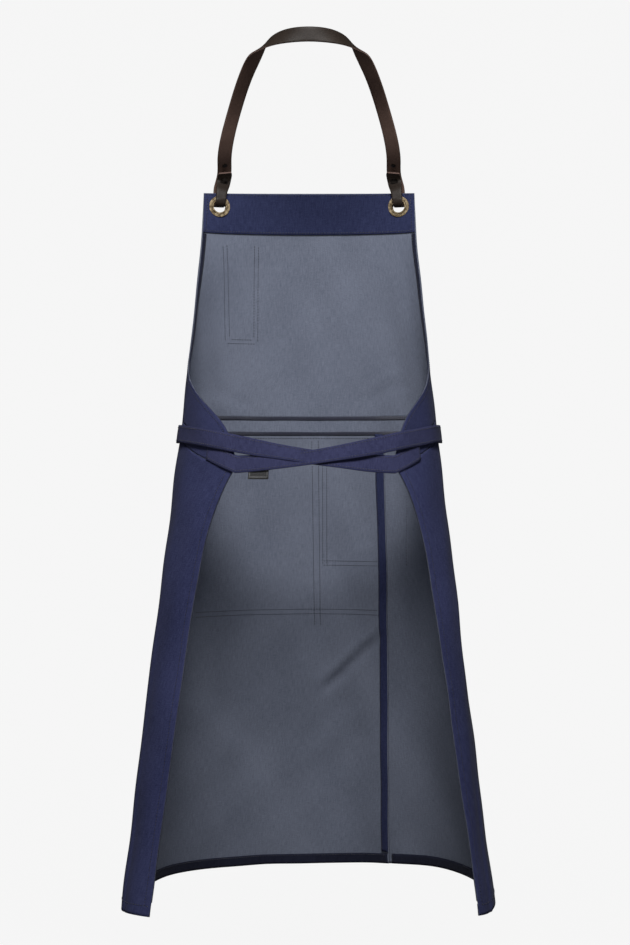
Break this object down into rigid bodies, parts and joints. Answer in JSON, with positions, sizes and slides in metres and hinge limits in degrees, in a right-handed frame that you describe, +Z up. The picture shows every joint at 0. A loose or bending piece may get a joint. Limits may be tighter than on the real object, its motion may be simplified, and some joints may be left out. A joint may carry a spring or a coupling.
{
  "type": "apron",
  "caption": "Indigo denim bib apron in its worn shape, with wrap-around skirt, front pockets, waist ties knotted in front and a leather neck strap threaded through metal grommets",
  "frame": {"origin": "middle of the waist opening at the height of the waist seam", "axes": "+Z up along the wearer, +Y out of the wearer's chest through the bib, +X to the wearer's right hand"},
  "size_m": [0.4389, 0.3788, 1.0494],
  "materials": {
    "denim": "matte",
    "facing": "matte",
    "hem": "matte",
    "tie_cloth": "matte",
    "label": "matte",
    "leather": "satin",
    "brass": "satin",
    "snap_metal": "satin"
  },
  "bodies": {
    "apron": {"bib_panel": "denim", "bib_top_facing": "facing", "left_armhole_hem": "hem", "right_armhole_hem": "hem", "waistband": "denim", "skirt_main_panel": "denim", "skirt_side_panel": "denim", "slit_facing": "facing", "main_bottom_hem": "hem", "side_bottom_hem": "hem", "left_edge_hem": "hem", "right_edge_hem": "hem", "pen_pocket": "denim", "front_pocket": "denim", "patch_pocket": "denim", "left_tie": "tie_cloth", "right_tie": "tie_cloth", "woven_label": "label", "left_grommet": "brass", "right_grommet": "brass", "left_grommet_washer": "brass", "right_grommet_washer": "brass"},
    "strap": {"neck_strap": "leather", "left_strap_studs": "snap_metal", "right_strap_studs": "snap_metal"},
    "left_tab": {"left_strap_tab": "leather", "left_tab_snap": "snap_metal"},
    "right_tab": {"right_strap_tab": "leather", "right_tab_snap": "snap_metal"}
  },
  "joints": [
    {"name": "strap_swing", "type": "hinge", "parent": "apron", "child": "strap", "pos_m": [0, 0.09081, 0.29166], "axis": [1, 0, 0], "range_deg": [-12, 12]},
    {"name": "left_tab_fold", "type": "hinge", "parent": "strap", "child": "left_tab", "pos_m": [-0.11435, 0.08633, 0.29076], "axis": [0.9761, 0.2166, -0.0173], "range_deg": [0, 100]},
    {"name": "right_tab_fold", "type": "hinge", "parent": "strap", "child": "right_tab", "pos_m": [0.11435, 0.08633, 0.29076], "axis": [0.9761, -0.2166, 0.0173], "range_deg": [0, 100]}
  ]
}
